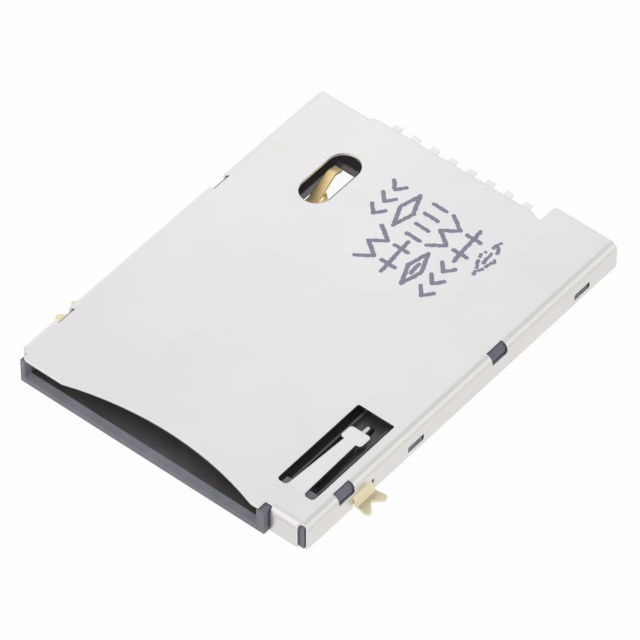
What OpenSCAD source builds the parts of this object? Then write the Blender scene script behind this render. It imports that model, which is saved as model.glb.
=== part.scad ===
// Push-push socket for a 15 x 25 mm sim card, soldered flat on a circuit board.
// X runs along the mouth, Y the way the card goes in, Z up from the board.
// Sizes along Y are measured from the housing's front face, and placed() then moves
// the origin to the middle of the footprint.

/* [Card] */
// Width of the card
card_w = 15; // [14.8:0.05:15.2]
// Length of the card
card_l = 25; // [24.8:0.05:25.2]
// Thickness of the card
card_t = 0.76; // [0.7:0.02:0.84]
// Clearance between the card and each side of its pocket
card_side_gap = 0.15; // [0.1:0.01:0.2]
// Clearance over the card, which the contacts take up
card_head_gap = 0.24; // [0.2:0.01:0.3]
// How far a locked card stands out of the mouth
card_proud = 0.3; // [0.2:0.05:0.4]

/* [Cover] */
// Thickness of the cover's sheet
sheet_t = 0.15; // [0.12:0.01:0.2]
// Inside radius of the cover's bends
bend_r = 0.3; // [0.25:0.01:0.35]
// Clearance between the cover and the housing inside it
cover_gap = 0.03; // [0.02:0.01:0.05]
// Height of the walls' lower edges above the board
wall_foot = 0.05; // [0.03:0.01:0.1]
// Setback of the cover's front edge from the housing's front face
edge_setback = 0.05; // [0.03:0.01:0.15]
// Width of the finger cut in the front edge
finger_w = 12.74; // [11:0.1:13]
// Depth of the finger cut
finger_d = 1; // [0.8:0.05:1.1]
// Setback of the front tab's outer face
tab_setback = 0.38; // [0.35:0.01:0.45]
// Width of the front tab
tab_w = 1.8; // [1.6:0.02:1.82]
// Width of the notch beside the tab
tab_notch_w = 0.45; // [0.4:0.01:0.5]
// Rear end of that notch
tab_notch_y = 0.6; // [0.58:0.01:0.7]
// Radius of its corner
tab_notch_r = 0.08; // [0.05:0.01:0.12]
// Length of the tab's level end, lapped into the cover's top
tab_land = 0.2; // [0.1:0.05:0.3]
// Width of the round-ended slot between the tab and the right side wall
corner_slot_w = 0.5; // [0.4:0.01:0.56]
// Rear end of that slot
corner_slot_y = 0.67; // [0.6:0.01:0.72]
// Front end of the left side wall
left_wall_front = 0.86; // [0.8:0.02:1.2]
// Front end of the right side wall
right_wall_front = 0.53; // [0.5:0.01:0.6]
// Edge of the moulding left bare beside the cover's front left corner
corner_bare = 0.11; // [0.05:0.01:0.15]
// Rear end of the cover's cut at that corner
corner_cut_y = 0.52; // [0.45:0.01:0.6]
// Radius of the cover's front left corner
corner_r = 0.2; // [0.1:0.01:0.25]
// Rear edge over the card pocket
rear_edge = 25.04; // [24.9:0.02:25.2]
// Rear edge of the lower corner beside it
corner_edge = 24.8; // [24.6:0.05:24.9]
// Width of that corner
corner_w = 3.43; // [3:0.05:3.6]
// Length of the slanted edge beside it
corner_ramp = 0.5; // [0.4:0.05:0.6]
// Depth of the bend relief cut where the rear edge steps out over the slider
step_notch_d = 0.2; // [0.15:0.01:0.25]
// Width of that relief
step_notch_w = 0.25; // [0.2:0.01:0.3]
// Radius of the free corner beside it
step_r = 0.22; // [0.1:0.01:0.3]
// How far the cover reaches past the housing behind the slider
rear_lip = 0.07; // [0.05:0.01:0.1]
// Front end of the first relief cut across each side bend
relief_front = 3.14; // [3:0.02:3.3]
// Front end of the second
relief_rear = 15.6; // [15.4:0.05:15.8]
// Length of a relief along the bend
relief_l = 1.28; // [1:0.02:1.4]
// Reach of a relief over the top, from the wall's outer face
relief_in = 0.47; // [0.46:0.01:0.55]
// Height of a relief's lower edge
relief_foot = 1.02; // [1:0.01:1.1]

/* [Catches] */
// Front end of the first slot that hooks over a catch of the housing
slot_front = 8.7; // [8.4:0.05:9.2]
// Front end of the second
slot_rear = 22.5; // [22:0.05:22.8]
// Length of a slot
slot_l = 1.3; // [1.1:0.05:1.5]
// Height of a slot
slot_h = 0.45; // [0.35:0.01:0.5]
// Height of a slot's lower edge
slot_foot = 0.3; // [0.25:0.01:0.4]
// Radius of a slot's corners
slot_r = 0.08; // [0.05:0.01:0.1]
// Gap between a catch and each end of its slot
catch_end_gap = 0.12; // [0.08:0.01:0.15]
// Play between a catch's underside and the lower edge of its slot
catch_play = 0.02; // [0.01:0.005:0.04]
// How far a catch stands out of the housing
catch_out = 0.12; // [0.08:0.01:0.14]

/* [Housing] */
// Thickness of the floor under the card
floor_t = 0.6; // [0.56:0.02:0.7]
// Thickness of the floor under the slider
channel_floor = 0.33; // [0.3:0.01:0.36]
// Thickness of the wall beside the card
left_wall = 0.795; // [0.75:0.005:0.85]
// Thickness of the wall outside the slider
channel_wall = 0.55; // [0.5:0.01:0.6]
// Thickness of the rear walls
rear_wall = 0.3; // [0.25:0.01:0.35]
// Height of the rear wall that stops the card
stop_h = 1.2; // [1.1:0.02:1.22]
// Height of the rear wall at the lower corner
corner_h = 0.85; // [0.7:0.05:0.9]
// Width of the low rear wall under the cover's relief cut
relief_wall_w = 1.2; // [1:0.05:1.4]
// Width of the front post beside the mouth
post_w = 0.7; // [0.6:0.02:0.74]
// Step of the front left corner inside the cover's wall
front_step = 0.34; // [0.3:0.01:0.4]
// Length of the front block that carries the cam pin
front_block_l = 2.7; // [2.6:0.01:2.8]
// Depth of the mouth's lead-in
lead_in = 0.34; // [0.3:0.02:0.5]
// Drop of the floor's lip at the mouth
lip_drop = 0.24; // [0.15:0.01:0.3]
// Flare of each side of the mouth
jamb_flare = 0.2; // [0.1:0.01:0.25]

/* [Contacts] */
// Distance between neighbouring tails
pitch = 1.27; // [1.2:0.01:1.3]
// Thickness of the contact strip
strip_t = 0.15; // [0.12:0.01:0.16]
// Width of a tail
tail_w = 0.48; // [0.4:0.02:0.5]
// Reach of a tail past the rear wall
tail_reach = 1.2; // [1:0.05:1.3]
// Length of a tail's level end at the rear wall
tail_entry = 0.12; // [0.1:0.01:0.15]
// Slope of a tail down to the board
tail_slope = 50; // [45:1:55]
// Width of the strip inside the floor
rail_w = 0.26; // [0.2:0.01:0.28]
// Height of the strip inside the floor
rail_z = 0.2; // [0.18:0.01:0.25]
// Width of an arm at its root
root_w = 0.66; // [0.6:0.01:0.68]
// Width of an arm at its tip
tip_w = 0.5; // [0.4:0.01:0.56]
// Length of the level landing that joins an arm to its lead
root_land = 0.4; // [0.35:0.01:0.5]
// Length from an arm's root to its crest
arm_l = 4.4; // [4.2:0.05:4.6]
// Height of a free arm's crest
crest_z = 1.25; // [1.1:0.01:1.35]
// Slope of a signal arm
arm_slope = 16; // [15:0.5:18]
// Slope of the card switch's arm
switch_slope = 31; // [28:0.5:32]
// Radius of the strip's bends, at mid-thickness
arm_r = 0.38; // [0.3:0.01:0.42]
// Angle of an arm's tip below level
tip_drop = 16; // [12:1:30]
// Length of the tip past the crest's bend
tip_l = 0.45; // [0.35:0.01:0.5]
// Distance from the card's inner end to the near row of pads
pad_setback = 5; // [4.8:0.05:5.2]
// Distance between the two rows of pads
pad_rows = 7.62; // [7.4:0.02:7.8]
// Crest of the switch arm behind the end of an ejected card
switch_lag = 0.65; // [0.5:0.05:0.7]
// Clearance round an arm in its floor window
window_side_gap = 0.22; // [0.18:0.01:0.24]
// The same on the switch arm's left side
switch_side_gap = 0.28; // [0.27:0.01:0.31]
// And on its right side, where the switch's fixed plate stands
stop_side_gap = 0.43; // [0.41:0.01:0.45]
// Gap between the switch arm and the plate beside it
stop_gap = 0.05; // [0.04:0.005:0.07]
// Rear end of that plate's tongue, forward of the arm's crest
stop_lag = 0.7; // [0.65:0.01:0.75]
// Length of the tongue
tongue_l = 0.35; // [0.3:0.01:0.4]
// Distance of the tongue's end from the arm's centreline
tongue_in = 0.18; // [0.15:0.01:0.2]
// Length of the plate in front of the tongue
stop_l = 0.95; // [0.8:0.05:1]
// Slant of the plate's rear edge
stop_slant = 0.48; // [0.4:0.01:0.5]
// Room behind an arm's tip in its window
window_end_gap = 0.82; // [0.6:0.02:0.88]
// Plastic between a window and the strip beside it
rail_cover = 0.1; // [0.08:0.01:0.12]

/* [Solder terminals] */
// Width of a terminal
terminal_w = 1.5; // [1.4:0.02:1.6]
// Front edge of a terminal
terminal_y = 4.35; // [4.25:0.01:4.45]
// Height at which a terminal leaves the housing's side
terminal_z = 0.72; // [0.6:0.01:0.75]
// Depth of a terminal's root in the housing's side
terminal_root = 0.35; // [0.25:0.01:0.4]
// Slope of a terminal outside the cover
terminal_slope = 62; // [55:1:70]
// Radius of a terminal's bends, at mid-thickness
terminal_r = 0.18; // [0.15:0.01:0.2]
// Room round a terminal in the cover's cut-out
cutout_gap = 0.1; // [0.08:0.01:0.16]
// Reach of the foot past the cover
foot_reach = 0.98; // [0.85:0.01:1.05]
// Width of each round-ended prong of the foot
prong_w = 0.42; // [0.36:0.01:0.46]
// Reach of each prong's centre sideways from the foot's middle
prong_out = 0.62; // [0.58:0.01:0.66]
// Radius of the bottom of the notch between the prongs
fork_r = 0.18; // [0.12:0.01:0.22]

/* [Slider and cam] */
// Travel of the slider from ejected to fully pushed in
travel = 4.8; // [4.4:0.05:5]
// Push past the locked place that lets the card go
overtravel = 0.35; // [0.3:0.01:0.45]
// Clearance on each running face
run_gap = 0.05; // [0.03:0.01:0.06]
// Length of the cam block
cam_l = 7.1; // [7:0.05:7.4]
// Width of the bar along the card
bar_w = 0.78; // [0.6:0.02:0.8]
// Thickness of the pusher behind the card
pusher_t = 0.6; // [0.5:0.02:0.7]
// Reach of the pusher behind the card's corner
pusher_reach = 0.6; // [0.5:0.02:0.65]
// Height of the bar's and pusher's top
bar_top = 1.45; // [1.4:0.01:1.5]
// Height of the rims along the cam
rim_top = 1.3; // [1.25:0.01:1.32]
// Height of the cam's deck, under the wire
deck_z = 1.02; // [1:0.01:1.04]
// Height of the track's floor where the follower rests
track_z = 0.66; // [0.64:0.01:0.7]
// Drop at each one-way step of the track
track_step = 0.05; // [0.03:0.01:0.05]
// Sideways reach of the two lanes from the cam's centreline
lane_out = 0.5; // [0.45:0.01:0.52]
// Clearance between the follower and each side of its lane
lane_gap = 0.06; // [0.04:0.01:0.07]
// Width of the rim on each side of the deck
rim_w = 0.12; // [0.1:0.01:0.14]
// Deck left between a lane and the rim beside it
deck_edge = 0.08; // [0.05:0.01:0.1]
// Wall between the deck's rear end and the spring
cam_end_wall = 0.5; // [0.4:0.05:0.6]

/* [Cam pin] */
// Diameter of the wire
wire_d = 0.3; // [0.26:0.01:0.32]
// Distance of the pivot from the housing's front face
pivot_y = 1.6; // [1.5:0.02:1.7]
// Distance between the wire's two bent ends
pin_l = 6.6; // [6.5:0.02:6.7]
// Radius of the wire's bends, at its centreline
wire_bend_r = 0.24; // [0.2:0.01:0.26]
// Gap between the wire and the deck under it
wire_lift = 0.09; // [0.07:0.01:0.1]
// Radial clearance of the pivot in its bore
pivot_gap = 0.05; // [0.03:0.01:0.06]
// Gap between the bent ends and the plastic under them
end_gap = 0.05; // [0.03:0.01:0.06]

/* [Leaf] */
// Width of the window round the leaf
leaf_window_w = 2.42; // [2.3:0.02:2.5]
// Front end of that window
leaf_window_y = 2.14; // [2.1:0.02:2.25]
// Length of that window
leaf_window_l = 6.58; // [6.4:0.02:6.6]
// Radius of the window's two front ends, and of the leaf's root between them
leaf_window_r = 0.24; // [0.2:0.01:0.28]
// Radius of the window's rear corners
leaf_rear_r = 0.12; // [0.1:0.01:0.2]
// Width of the leaf at its root
leaf_root_w = 1.08; // [1:0.02:1.2]
// Width of the leaf's shank where it meets the head
leaf_neck_w = 0.76; // [0.6:0.01:0.8]
// Length of the leaf from its root to its tip
leaf_l = 5.1; // [5:0.02:5.2]
// Radius of the bend at the leaf's root
leaf_bend_r = 1; // [0.5:0.1:1.5]
// Length of the leaf's head
leaf_head_l = 0.92; // [0.8:0.02:1]
// Width of the leaf's head
leaf_head_w = 1.36; // [1.1:0.01:1.4]
// Radius of the head's corners
leaf_head_r = 0.2; // [0.1:0.01:0.25]
// Gap between the leaf's tip and the wire
leaf_gap = 0.012; // [0.01:0.001:0.02]

/* [Spring] */
// Outside diameter of the return spring
spring_d = 1.15; // [1:0.01:1.16]
// Diameter of its wire
spring_wire = 0.2; // [0.16:0.01:0.22]
// Clearance between the spring and each side of its channel
spring_gap = 0.1825; // [0.15:0.0025:0.2]
// Number of turns
spring_turns = 20; // [16:1:24]
// Length of the spigot in each end of the spring
spigot_l = 0.7; // [0.5:0.05:0.8]
// Clearance between a spigot and the spring round it
spigot_gap = 0.07; // [0.05:0.01:0.1]

/* [Viewing window] */
// Width of the round-ended window over the card switch
view_w = 1.96; // [1.8:0.02:2]
// Length of that window
view_l = 4.2; // [4:0.05:4.3]
// Place of its middle, sideways from the switch arm
view_x = 0.52; // [0.45:0.01:0.55]
// Place of its middle, forward of the switch arm's crest
view_y = 0.8; // [0.7:0.02:0.9]

/* [Hidden] */
$fn = 48;

// Heights
cover_under = floor_t + card_t + card_head_gap;
total_h = cover_under + sheet_t;
seat_gap = 0.01;
body_h = cover_under - seat_gap;
slack = 1;

// Across the socket
pocket_w = card_w + 2 * card_side_gap;
channel_w = run_gap + bar_w + spring_d + 2 * spring_gap;
body_w = left_wall + pocket_w + channel_w + channel_wall;
body_right = body_w / 2;
cover_w = body_w + 2 * (cover_gap + sheet_t);
pocket_left = left_wall - body_right;
pocket_right = pocket_left + pocket_w;
card_x = (pocket_left + pocket_right) / 2;
front_left = front_step - body_right;
post_right = pocket_right + post_w;
behind_tab = tab_setback + sheet_t + cover_gap;
channel_right = body_right - channel_wall;
slider_left = pocket_right + run_gap;
slider_right = channel_right - run_gap;
pusher_left = card_x + card_w / 2 - pusher_reach;
chamber_left = pusher_left - run_gap;
rear_step_x = chamber_left - rear_wall;
outer_bend_r = bend_r + sheet_t;
edge_bevel = 0.7 * bend_r;
tab_right = cover_w / 2 - corner_slot_w;
tab_left = tab_right - tab_w;
tab_root = tab_setback + outer_bend_r;

// Along the socket
locked_end = card_l - card_proud;
pushed_end = locked_end + overtravel;
pocket_end = pushed_end + run_gap;
ejected_end = pushed_end - travel;
body_rear = pocket_end + rear_wall;
chamber_end = pushed_end + pusher_t + run_gap;
body_l = chamber_end + rear_wall;
cover_l = body_l + rear_lip;
overall_l = body_rear + tail_reach;
cam_front = front_block_l + run_gap;
cam_rear = cam_front + cam_l;

// Contacts: number of the tail, counted from the left, and the row of pads it touches
TAILS = 8;
SIGNALS = [[3, "near"], [5, "near"], [7, "near"], [4, "far"], [6, "far"], [8, "far"]];
SWITCH_TAIL = 1;
STOP_TAIL = 2;
near_crest = locked_end - pad_setback;
far_crest = near_crest - pad_rows;
switch_crest = ejected_end + switch_lag;
rail_mid = rail_z + strip_t / 2;
crest_rise = crest_z - strip_t / 2 - rail_mid;
tip_span = arm_r * sin(tip_drop) + tip_l * cos(tip_drop);
tail_ramp = (rail_z - 2 * strip_t * (1 - cos(tail_slope))) / sin(tail_slope);
tail_run = 2 * strip_t * sin(tail_slope) + tail_ramp * cos(tail_slope);
stop_rear = switch_crest - stop_lag;
stop_front = stop_rear - tongue_l - stop_l;

// Terminals
terminal_start = body_right - terminal_root;
terminal_level = terminal_root - strip_t;
terminal_drop = terminal_z - strip_t / 2;
terminal_end = cover_w / 2 + foot_reach;
terminal_ramp = (terminal_drop - 2 * terminal_r * (1 - cos(terminal_slope))) / sin(terminal_slope);
terminal_foot = terminal_end - terminal_start - terminal_level
    - 2 * terminal_r * sin(terminal_slope) - terminal_ramp * cos(terminal_slope);

// Cam pin and track
wire_z = deck_z + wire_lift + wire_d / 2;
follower_y = pivot_y + pin_l;
lane_w = wire_d + 2 * lane_gap;
swing = asin(lane_out / pin_l);
latch_back = travel - overtravel;
deck_half = lane_out + lane_w / 2 + deck_edge;
cam_x = slider_left + rim_w + deck_half;
leaf_y = leaf_window_y + leaf_window_r;
leaf_tilt = asin((cover_under - wire_z - wire_d / 2 - leaf_gap) / leaf_l);

// Spring
spring_x = channel_right - spring_gap - spring_d / 2;
spring_z = channel_floor + run_gap + spring_d / 2;
spigot_d = spring_d - 2 * spring_wire - 2 * spigot_gap;

function tail_x(n) = card_x + (n - (TAILS + 1) / 2) * pitch;

// Moves the origin from the housing's front face to the middle of the footprint
module placed() translate([0, -overall_l / 2, 0]) children();

// A box by its two opposite corners
module block(a, b) translate(a) cube(b - a);

// A flat outline drawn in the YZ plane, made w wide along X from x
module along_x(x, w) translate([x, 0, 0]) rotate([90, 0, 90]) linear_extrude(w) children();

// A round-ended bar from point a to point b, w wide
module capsule(a, b, w) {
    d = b - a;
    for (p = [a, b]) translate(p) circle(d = w);
    translate(a) rotate(atan2(d.y, d.x)) translate([0, -w / 2]) square([norm(d), w]);
}

// A rectangle with corners of radius r, by its corner and size
module round_rect(p, size, r) {
    translate(p) {
        translate([r, 0]) square([size.x - 2 * r, size.y]);
        translate([0, r]) square([size.x, size.y - 2 * r]);
        for (x = [r, size.x - r], y = [r, size.y - r]) translate([x, y]) circle(r);
    }
}

// The side view of a bent strip: a list of steps, each [length, turn, radius], is a straight
// of that length and then a bend by that turn on that mean radius
BEND_STEP = 9;

function arc_point(p, turn, r) = let (h = p.z + turn, side = sign(turn))
    [p.x + side * r * (sin(h) - sin(p.z)), p.y + side * r * (cos(p.z) - cos(h)), h];

function strip_path(steps, at = [0, 0, 0], i = 0) = i == len(steps) ? [] : let (
    s = steps[i],
    p = at + [s[0] * cos(at.z), s[0] * sin(at.z), 0],
    n = ceil(abs(s[1]) / BEND_STEP),
    arc = n == 0 ? [] : [for (k = [1 : n]) arc_point(p, s[1] * k / n, s[2])])
    concat([p], arc, strip_path(steps, n == 0 ? p : arc[n - 1], i + 1));

module strip(steps, t, heading = 0) {
    mid = concat([[0, 0, heading]], strip_path(steps, [0, 0, heading]));
    last = len(mid) - 1;
    polygon(concat(
        [for (p = mid) [p.x - t / 2 * sin(p.z), p.y + t / 2 * cos(p.z)]],
        [for (k = [last : -1 : 0]) [mid[k].x + t / 2 * sin(mid[k].z), mid[k].y - t / 2 * cos(mid[k].z)]]));
}

// Housing

module housing() {
    color("#1d1d20") difference() {
        union() {
            linear_extrude(body_h) housing_outline();
            for (y = [slot_front, slot_rear], side = [-1, 1]) catch(y, side);
        }
        card_pocket();
        slider_channel();
        rear_cutdown();
        mouth_lead_in();
        edge_chamfers();
        cam_pin_seat();
        for (s = SIGNALS) contact_seat(tail_x(s[0]), crest_of(s[1]), window_side_gap, window_side_gap);
        contact_seat(tail_x(SWITCH_TAIL), switch_crest, switch_side_gap, stop_side_gap);
        stop_lead();
        for (side = [-1, 1]) {
            terminal_slot(side);
            terminal_relief(side);
        }
    }
    color("#1d1d20") spigot([spring_x, chamber_end, spring_z], -1);
}

// Plan of the moulding: stepped in at the front left corner and round the front tab, and
// longer behind the slider
module housing_outline()
    polygon([[front_left, 0], [front_left, left_wall_front], [-body_right, left_wall_front],
        [-body_right, body_rear], [rear_step_x, body_rear], [rear_step_x, body_l], [body_right, body_l],
        [body_right, behind_tab], [post_right, behind_tab], [post_right, 0]]);

module card_pocket() block([pocket_left, -slack, floor_t], [pocket_right, pocket_end, total_h]);

// The channel that the slider and its spring lie in, and the chamber that the pusher ends in
module slider_channel() {
    block([pocket_right, front_block_l, channel_floor], [channel_right, chamber_end, total_h]);
    block([chamber_left, pocket_end - slack, floor_t], [channel_right, chamber_end, total_h]);
}

// The rear wall stays low enough to be hidden behind the cover
module rear_cutdown() {
    corner_x = corner_w - cover_w / 2;
    block([corner_x, rear_edge - slack / 2, stop_h], [rear_step_x, body_rear + slack, total_h]);
    block([rear_step_x - relief_wall_w, rear_edge - slack / 2, corner_h],
        [rear_step_x, body_rear + slack, total_h]);
    block([-body_right - slack, corner_edge - slack / 2, corner_h], [corner_x, body_rear + slack, total_h]);
}

// Bevels at the mouth: the floor's lip, from one flared side to the other
module mouth_lead_in() {
    left = pocket_left - jamb_flare;
    right = pocket_right + jamb_flare;
    intersection() {
        along_x(left, right - left)
            polygon([[-slack, floor_t - lip_drop - slack * lip_drop / lead_in], [lead_in, floor_t],
                [lead_in, total_h], [-slack, total_h]]);
        linear_extrude(total_h + slack)
            polygon([[left, -slack], [left, 0], [pocket_left, lead_in], [pocket_right, lead_in],
                [right, 0], [right, -slack]]);
    }
}

// The moulding's upper edges clear the inside of the cover's bends
module edge_chamfers() {
    c = edge_bevel;
    y = behind_tab;
    for (side = [-1, 1])
        translate([side * body_right, -slack, body_h]) rotate([-90, 0, 0])
            linear_extrude(body_l + 2 * slack)
                polygon([[-side * c, 0], [side * slack, 0], [side * slack, slack], [0, c]]);
    along_x(post_right, body_right - post_right + slack)
        polygon([[y, body_h - c], [y + c, body_h], [y + c, total_h], [y - slack, total_h],
            [y - slack, body_h - c]]);
}

// The wire's slot in the front block, with the pivot bore under its front end
module cam_pin_seat() {
    bore_d = wire_d + 2 * pivot_gap;
    half = bore_d;
    block([cam_x - half, pivot_y - half, deck_z], [cam_x + half, front_block_l + slack, total_h]);
    translate([cam_x, pivot_y, track_z - end_gap]) cylinder(h = deck_z - track_z + slack / 2, d = bore_d);
}

// A catch that the cover's slot hooks over, sloped on top so that the wall rides down over it
module catch(y, side) {
    l = slot_l - 2 * catch_end_gap;
    base = slot_foot + catch_play;
    h = slot_h - catch_play - catch_end_gap / 2;
    translate([0, y + catch_end_gap, 0]) mirror([side < 0 ? 1 : 0, 0, 0])
        translate([body_right - sheet_t, l, base]) rotate([90, 0, 0]) linear_extrude(l)
            polygon([[0, 0], [sheet_t + catch_out, 0], [sheet_t + catch_out, h / 2], [sheet_t, h], [0, h]]);
}

// A round spigot that centres an end of the spring, pointing along Y by dir
module spigot(p, dir) translate(p) rotate([-90 * dir, 0, 0]) cylinder(h = spigot_l, d = spigot_d);

// Contacts

function crest_of(row) = row == "near" ? near_crest : far_crest;
function straight_rise(slope) = (crest_rise - 2 * arm_r * (1 - cos(slope))) / sin(slope);
function rise_span(slope) = 2 * arm_r * sin(slope) + straight_rise(slope) * cos(slope);

// The arm's steps from its root rearward: level, up the slope, over the crest and down
function arm_steps(slope) = [[root_land + arm_l - rise_span(slope), slope, arm_r],
    [straight_rise(slope), -slope - tip_drop, arm_r], [tip_l, 0, 0]];

// The arm, tapered in plan from the foot of its slope to its tip
module arm(x, crest, slope) {
    root = crest - arm_l;
    foot = crest - rise_span(slope);
    intersection() {
        translate([0, root - root_land, rail_mid]) along_x(x - root_w / 2, root_w)
            strip(arm_steps(slope), strip_t);
        linear_extrude(total_h) translate([x, 0]) polygon([[-root_w / 2, root - slack],
            [root_w / 2, root - slack], [root_w / 2, foot], [tip_w / 2, crest], [tip_w / 2, crest + slack],
            [-tip_w / 2, crest + slack], [-tip_w / 2, crest], [-root_w / 2, foot]]);
    }
}

// The strip moulded into the floor: in from the tail, round the window and back to the arm's root
module lead_plan(x, crest, side_gap) {
    root = crest - arm_l;
    window_rear = crest + tip_span + window_end_gap;
    side = x - root_w / 2 - side_gap - rail_cover - rail_w / 2;
    translate([x - rail_w / 2, window_rear + rail_cover])
        square([rail_w, body_rear + tail_entry / 2 - window_rear - rail_cover]);
    translate([side - rail_w / 2, window_rear + rail_cover]) square([x - side + rail_w, rail_w]);
    translate([side - rail_w / 2, root - root_land])
        square([rail_w, window_rear + rail_cover + rail_w - root + root_land]);
    translate([side - rail_w / 2, root - root_land])
        square([x + root_w / 2 - side + rail_w / 2, root_land]);
}

module lead(x, crest, side_gap)
    translate([0, 0, rail_z]) linear_extrude(strip_t) lead_plan(x, crest, side_gap);

// A tail, from the rear wall out: level, down to the board and along it
module tail(x)
    translate([0, body_rear, rail_mid]) along_x(x - tail_w / 2, tail_w)
        strip([[tail_entry, -tail_slope, strip_t], [tail_ramp, tail_slope, strip_t],
            [tail_reach - tail_entry - tail_run, 0, 0]], strip_t);

module contact(x, crest, side_gap, slope) {
    arm(x, crest, slope);
    lead(x, crest, side_gap);
    tail(x);
}

module signal_contact(i) {
    s = SIGNALS[i];
    color("#d9b45a") contact(tail_x(s[0]), crest_of(s[1]), window_side_gap, arm_slope);
}

module switch_arm()
    color("#d9b45a") contact(tail_x(SWITCH_TAIL), switch_crest, switch_side_gap, switch_slope);

// What a contact takes out of the floor: its lead, and a window for the arm to bend into
module contact_seat(x, crest, left_gap, right_gap) {
    lead(x, crest, left_gap);
    block([x - root_w / 2 - left_gap, crest - arm_l, -slack],
        [x + root_w / 2 + right_gap, crest + tip_span + window_end_gap, total_h]);
}

// The fixed half of the card switch: a flat plate beside the arm, level with its root, whose
// tongue lies under the arm's edge
module stop_plan() {
    x = tail_x(STOP_TAIL);
    arm_x = tail_x(SWITCH_TAIL);
    plate_left = arm_x + root_w / 2 + stop_gap;
    window_right = arm_x + root_w / 2 + stop_side_gap;
    translate([x - rail_w / 2, stop_front]) square([rail_w, body_rear + tail_entry / 2 - stop_front]);
    polygon([[plate_left, stop_front], [x, stop_front], [x, stop_rear - stop_slant],
        [window_right, stop_rear - stop_slant], [arm_x + tongue_in, stop_rear],
        [arm_x + tongue_in, stop_rear - tongue_l], [plate_left, stop_rear - tongue_l]]);
}

module stop_lead() translate([0, 0, rail_z]) linear_extrude(strip_t) stop_plan();

module switch_stop() {
    color("#d9b45a") {
        stop_lead();
        tail(tail_x(STOP_TAIL));
    }
}

// Solder terminals

// Side view of a terminal: level out of the housing, down outside the cover and along the board
module terminal_profile()
    translate([terminal_start, terminal_z])
        strip([[terminal_level, -terminal_slope, terminal_r], [terminal_ramp, terminal_slope, terminal_r],
            [terminal_foot, 0, 0]], strip_t);

// Plan of a terminal: its foot widens to two round prongs, with a notch between them whose
// sides stand at 45 degrees and touch the prongs' ends
module terminal_plan() {
    tip_x = terminal_end - prong_w / 2;
    tip_y = prong_out + prong_w / 2;
    touch = prong_w / 2 * cos(45);
    fork_x = tip_x - prong_out + (prong_w / 2 + fork_r) / cos(45);
    fork_touch = fork_r * cos(45);
    translate([0, terminal_y + terminal_w / 2]) difference() {
        union() {
            polygon([[body_right - slack, -terminal_w / 2], [terminal_end - terminal_foot, -terminal_w / 2],
                [tip_x, -tip_y], [tip_x + touch, touch - prong_out], [fork_x - fork_touch, -fork_touch],
                [fork_x - fork_touch, fork_touch], [tip_x + touch, prong_out - touch], [tip_x, tip_y],
                [terminal_end - terminal_foot, terminal_w / 2], [body_right - slack, terminal_w / 2]]);
            for (side = [-1, 1]) translate([tip_x, side * prong_out]) circle(d = prong_w);
        }
        translate([fork_x, 0]) circle(fork_r);
    }
}

module terminal(side) {
    foot_w = 2 * prong_out + prong_w;
    color("#dcc88a") mirror([side < 0 ? 1 : 0, 0, 0]) intersection() {
        translate([0, terminal_y + (terminal_w + foot_w) / 2, 0]) rotate([90, 0, 0]) linear_extrude(foot_w)
            terminal_profile();
        linear_extrude(total_h) terminal_plan();
    }
}

// The slot in the housing's side that a terminal's root is pressed into
module terminal_slot(side) mirror([side < 0 ? 1 : 0, 0, 0])
    block([terminal_start, terminal_y, terminal_z - strip_t / 2],
        [body_right + slack, terminal_y + terminal_w, terminal_z + strip_t / 2]);

// The room under the slot, so that the bent terminal clears the housing
module terminal_relief(side) mirror([side < 0 ? 1 : 0, 0, 0])
    block([body_right - strip_t, terminal_y - cover_gap, -slack],
        [body_right + slack, terminal_y + terminal_w + cover_gap, terminal_z + strip_t / 2]);

// Cover

module cover() {
    color("#d4d4d6") difference() {
        union() {
            difference() {
                cover_shell();
                cover_front_cuts();
                cover_rear_cuts();
                leaf_window();
            }
            front_tab();
            leaf();
        }
        view_window();
        for (side = [-1, 1]) {
            for (y = [relief_front, relief_rear])
                wall_cut(side, y, y + relief_l, relief_foot, total_h, relief_in);
            for (y = [slot_front, slot_rear]) catch_slot(side, y);
            wall_cut(side, terminal_y - cutout_gap, terminal_y + terminal_w + cutout_gap, -slack,
                terminal_z + (strip_t + cutout_gap) / 2, sheet_t + slack / 10);
        }
    }
}

// Section of the folded sheet, from wall foot to wall foot
module cover_section() difference() {
    cover_outside(0);
    cover_outside(sheet_t);
}

// Outline of the cover's outer faces, or of its inner ones, with all faces moved in by grow
module cover_outside(grow) {
    w = cover_w - 2 * grow;
    r = outer_bend_r - grow;
    z = total_h - grow;
    low = wall_foot - (grow > 0 ? slack : 0);
    translate([-w / 2, low]) square([w, z - r - low]);
    translate([r - w / 2, low]) square([w - 2 * r, z - low]);
    for (side = [-1, 1]) translate([side * (w / 2 - r), z - r]) circle(r);
}

module cover_shell()
    translate([0, cover_l, 0]) rotate([90, 0, 0]) linear_extrude(cover_l - edge_setback) cover_section();

// Cuts a side wall from y0 to y1 and z0 to z1, to a depth from its outer face
module wall_cut(side, y0, y1, z0, z1, depth)
    mirror([side < 0 ? 1 : 0, 0, 0])
        block([cover_w / 2 - depth, y0, z0], [cover_w / 2 + slack, y1, z1 + (z1 == total_h ? slack : 0)]);

// The slot in a side wall that hooks over a catch
module catch_slot(side, y)
    mirror([side < 0 ? 1 : 0, 0, 0])
        along_x(cover_w / 2 - sheet_t - slack / 10, sheet_t + slack)
            round_rect([y, slot_foot], [slot_l, slot_h], slot_r);

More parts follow.
